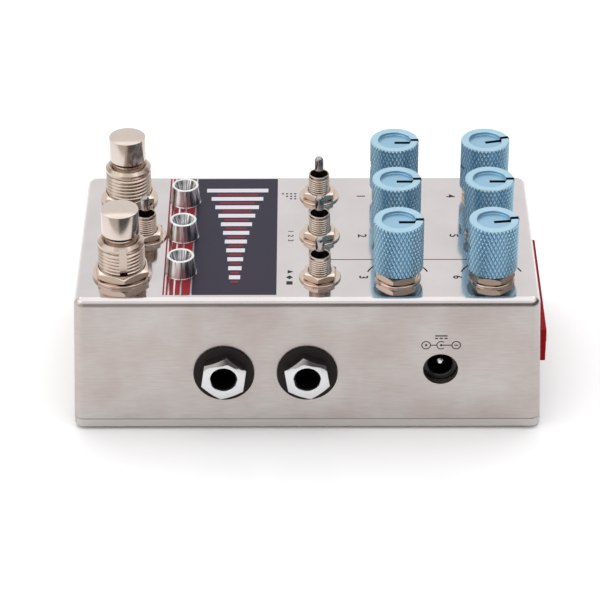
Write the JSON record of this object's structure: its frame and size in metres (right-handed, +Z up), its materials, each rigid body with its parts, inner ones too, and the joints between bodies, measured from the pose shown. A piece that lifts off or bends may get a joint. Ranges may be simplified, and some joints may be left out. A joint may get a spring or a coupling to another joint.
{
  "type": "guitar delay pedal",
  "caption": "Guitar delay pedal in a drafted cast box with turning knobs, toggle levers, footswitches, side jacks, a power inlet and rear slide switches.",
  "frame": {"origin": "centre of the flat base, on the surface the pedal rests on", "axes": "+Z up; the player stands at -Y and looks along +Y; +X is the player's right, with the power inlet"},
  "size_m": [0.0726, 0.1229, 0.0574],
  "materials": {
    "cast_aluminium": "brushed raw die-cast aluminium",
    "cover_aluminium": "brushed raw aluminium plate",
    "zinc_screw": "zinc-plated steel",
    "blue_anodised": "pale blue anodised aluminium, diamond knurl on the side",
    "shaft_metal": "turned metal",
    "dark_plastic": "moulded",
    "warm_nickel": "bright nickel plate, slightly warm",
    "polished_steel": "polished plate",
    "black_fibre": "pressed fibre washer",
    "clear_lamp": "clear moulded lens",
    "contact_metal": "tinned spring brass",
    "red_plastic": "moulded",
    "white_plastic": "moulded",
    "circuit_board": "glass-fibre board with a solder mask"
  },
  "bodies": {
    "pedal": {"enclosure_shell": "cast_aluminium", "base_plate": "cover_aluminium", "base_screws": "zinc_screw", "footswitch_bushes": "warm_nickel", "footswitch_cases": "dark_plastic", "footswitch_nuts": "warm_nickel", "footswitch_washers": "warm_nickel", "toggle_bushes": "warm_nickel", "toggle_cases": "dark_plastic", "toggle_nuts": "warm_nickel", "toggle_washers": "warm_nickel", "pot_housings": "shaft_metal", "pot_nuts": "warm_nickel", "pot_washers": "warm_nickel", "led_bezels": "polished_steel", "led_lamps": "clear_lamp", "jack_nuts": "polished_steel", "jack_washers": "black_fibre", "jack_housings": "dark_plastic", "jack_contacts": "contact_metal", "dc_socket_housing": "dark_plastic", "dc_socket_pin": "polished_steel", "dip_housings": "red_plastic", "control_board": "circuit_board", "main_board": "circuit_board", "board_components": "dark_plastic"},
    "knob_front_left": {"knob_front_left": "blue_anodised", "pot_shaft_front_left": "shaft_metal"},
    "knob_front_middle": {"knob_front_middle": "blue_anodised", "pot_shaft_front_middle": "shaft_metal"},
    "knob_front_right": {"knob_front_right": "blue_anodised", "pot_shaft_front_right": "shaft_metal"},
    "knob_rear_left": {"knob_rear_left": "blue_anodised", "pot_shaft_rear_left": "shaft_metal"},
    "knob_rear_middle": {"knob_rear_middle": "blue_anodised", "pot_shaft_rear_middle": "shaft_metal"},
    "knob_rear_right": {"knob_rear_right": "blue_anodised", "pot_shaft_rear_right": "shaft_metal"},
    "toggle_lever_left": {"toggle_lever_left": "polished_steel"},
    "toggle_lever_middle": {"toggle_lever_middle": "polished_steel"},
    "toggle_lever_right": {"toggle_lever_right": "polished_steel"},
    "toggle_lever_front": {"toggle_lever_front": "polished_steel"},
    "footswitch_plunger_left": {"footswitch_plunger_left": "warm_nickel"},
    "footswitch_plunger_right": {"footswitch_plunger_right": "warm_nickel"},
    "dip_slider_1": {"dip_slider_1": "white_plastic"},
    "dip_slider_2": {"dip_slider_2": "white_plastic"},
    "dip_slider_3": {"dip_slider_3": "white_plastic"},
    "dip_slider_4": {"dip_slider_4": "white_plastic"},
    "dip_slider_5": {"dip_slider_5": "white_plastic"},
    "dip_slider_6": {"dip_slider_6": "white_plastic"},
    "dip_slider_7": {"dip_slider_7": "white_plastic"},
    "dip_slider_8": {"dip_slider_8": "white_plastic"},
    "dip_slider_9": {"dip_slider_9": "white_plastic"},
    "dip_slider_10": {"dip_slider_10": "white_plastic"},
    "dip_slider_11": {"dip_slider_11": "white_plastic"},
    "dip_slider_12": {"dip_slider_12": "white_plastic"},
    "dip_slider_13": {"dip_slider_13": "white_plastic"},
    "dip_slider_14": {"dip_slider_14": "white_plastic"},
    "dip_slider_15": {"dip_slider_15": "white_plastic"},
    "dip_slider_16": {"dip_slider_16": "white_plastic"}
  },
  "joints": [
    {"name": "knob_front_left_turn", "type": "hinge", "parent": "pedal", "child": "knob_front_left", "pos_m": [-0.0205, 0.0233, 0.038], "axis": [0, 0, 1], "range_deg": [-140, 140]},
    {"name": "knob_front_middle_turn", "type": "hinge", "parent": "pedal", "child": "knob_front_middle", "pos_m": [0, 0.0233, 0.038], "axis": [0, 0, 1], "range_deg": [-140, 140]},
    {"name": "knob_front_right_turn", "type": "hinge", "parent": "pedal", "child": "knob_front_right", "pos_m": [0.0205, 0.0233, 0.038], "axis": [0, 0, 1], "range_deg": [-140, 140]},
    {"name": "knob_rear_left_turn", "type": "hinge", "parent": "pedal", "child": "knob_rear_left", "pos_m": [-0.0205, 0.0474, 0.038], "axis": [0, 0, 1], "range_deg": [-153.5, 126.5]},
    {"name": "knob_rear_middle_turn", "type": "hinge", "parent": "pedal", "child": "knob_rear_middle", "pos_m": [0, 0.0474, 0.038], "axis": [0, 0, 1], "range_deg": [-140, 140]},
    {"name": "knob_rear_right_turn", "type": "hinge", "parent": "pedal", "child": "knob_rear_right", "pos_m": [0.0205, 0.0474, 0.038], "axis": [0, 0, 1], "range_deg": [-147.5, 132.5]},
    {"name": "toggle_left_throw", "type": "hinge", "parent": "pedal", "child": "toggle_lever_left", "pos_m": [-0.0205, 0.0033, 0.0414], "axis": [0, 1, 0], "range_deg": [-12.5, 12.5]},
    {"name": "toggle_middle_throw", "type": "hinge", "parent": "pedal", "child": "toggle_lever_middle", "pos_m": [0, 0.0033, 0.0414], "axis": [0, 1, 0], "range_deg": [-12.5, 12.5]},
    {"name": "toggle_right_throw", "type": "hinge", "parent": "pedal", "child": "toggle_lever_right", "pos_m": [0.0205, 0.0033, 0.0414], "axis": [0, 1, 0], "range_deg": [-12.5, 12.5]},
    {"name": "toggle_front_throw", "type": "hinge", "parent": "pedal", "child": "toggle_lever_front", "pos_m": [0, -0.04215, 0.0414], "axis": [0, 1, 0], "range_deg": [-12.5, 12.5]},
    {"name": "footswitch_left_press", "type": "slide", "parent": "pedal", "child": "footswitch_plunger_left", "axis": [0, 0, -1], "range_m": [0, 0.0016], "stiffness_N_per_m": 4000, "springref_m": -0.0012},
    {"name": "footswitch_right_press", "type": "slide", "parent": "pedal", "child": "footswitch_plunger_right", "axis": [0, 0, -1], "range_m": [0, 0.0016], "stiffness_N_per_m": 4000, "springref_m": -0.0012},
    {"name": "dip_slider_1_throw", "type": "slide", "parent": "pedal", "child": "dip_slider_1", "axis": [0, 0, 1], "range_m": [-0.0022, 0]},
    {"name": "dip_slider_2_throw", "type": "slide", "parent": "pedal", "child": "dip_slider_2", "axis": [0, 0, 1], "range_m": [-0.0022, 0]},
    {"name": "dip_slider_3_throw", "type": "slide", "parent": "pedal", "child": "dip_slider_3", "axis": [0, 0, 1], "range_m": [-0.0022, 0]},
    {"name": "dip_slider_4_throw", "type": "slide", "parent": "pedal", "child": "dip_slider_4", "axis": [0, 0, 1], "range_m": [-0.0022, 0]},
    {"name": "dip_slider_5_throw", "type": "slide", "parent": "pedal", "child": "dip_slider_5", "axis": [0, 0, 1], "range_m": [-0.0022, 0]},
    {"name": "dip_slider_6_throw", "type": "slide", "parent": "pedal", "child": "dip_slider_6", "axis": [0, 0, 1], "range_m": [-0.0022, 0]},
    {"name": "dip_slider_7_throw", "type": "slide", "parent": "pedal", "child": "dip_slider_7", "axis": [0, 0, 1], "range_m": [-0.0022, 0]},
    {"name": "dip_slider_8_throw", "type": "slide", "parent": "pedal", "child": "dip_slider_8", "axis": [0, 0, 1], "range_m": [-0.0022, 0]},
    {"name": "dip_slider_9_throw", "type": "slide", "parent": "pedal", "child": "dip_slider_9", "axis": [0, 0, 1], "range_m": [-0.0022, 0]},
    {"name": "dip_slider_10_throw", "type": "slide", "parent": "pedal", "child": "dip_slider_10", "axis": [0, 0, 1], "range_m": [-0.0022, 0]},
    {"name": "dip_slider_11_throw", "type": "slide", "parent": "pedal", "child": "dip_slider_11", "axis": [0, 0, 1], "range_m": [-0.0022, 0]},
    {"name": "dip_slider_12_throw", "type": "slide", "parent": "pedal", "child": "dip_slider_12", "axis": [0, 0, 1], "range_m": [-0.0022, 0]},
    {"name": "dip_slider_13_throw", "type": "slide", "parent": "pedal", "child": "dip_slider_13", "axis": [0, 0, 1], "range_m": [-0.0022, 0]},
    {"name": "dip_slider_14_throw", "type": "slide", "parent": "pedal", "child": "dip_slider_14", "axis": [0, 0, 1], "range_m": [-0.0022, 0]},
    {"name": "dip_slider_15_throw", "type": "slide", "parent": "pedal", "child": "dip_slider_15", "axis": [0, 0, 1], "range_m": [-0.0022, 0]},
    {"name": "dip_slider_16_throw", "type": "slide", "parent": "pedal", "child": "dip_slider_16", "axis": [0, 0, 1], "range_m": [-0.0022, 0]}
  ]
}
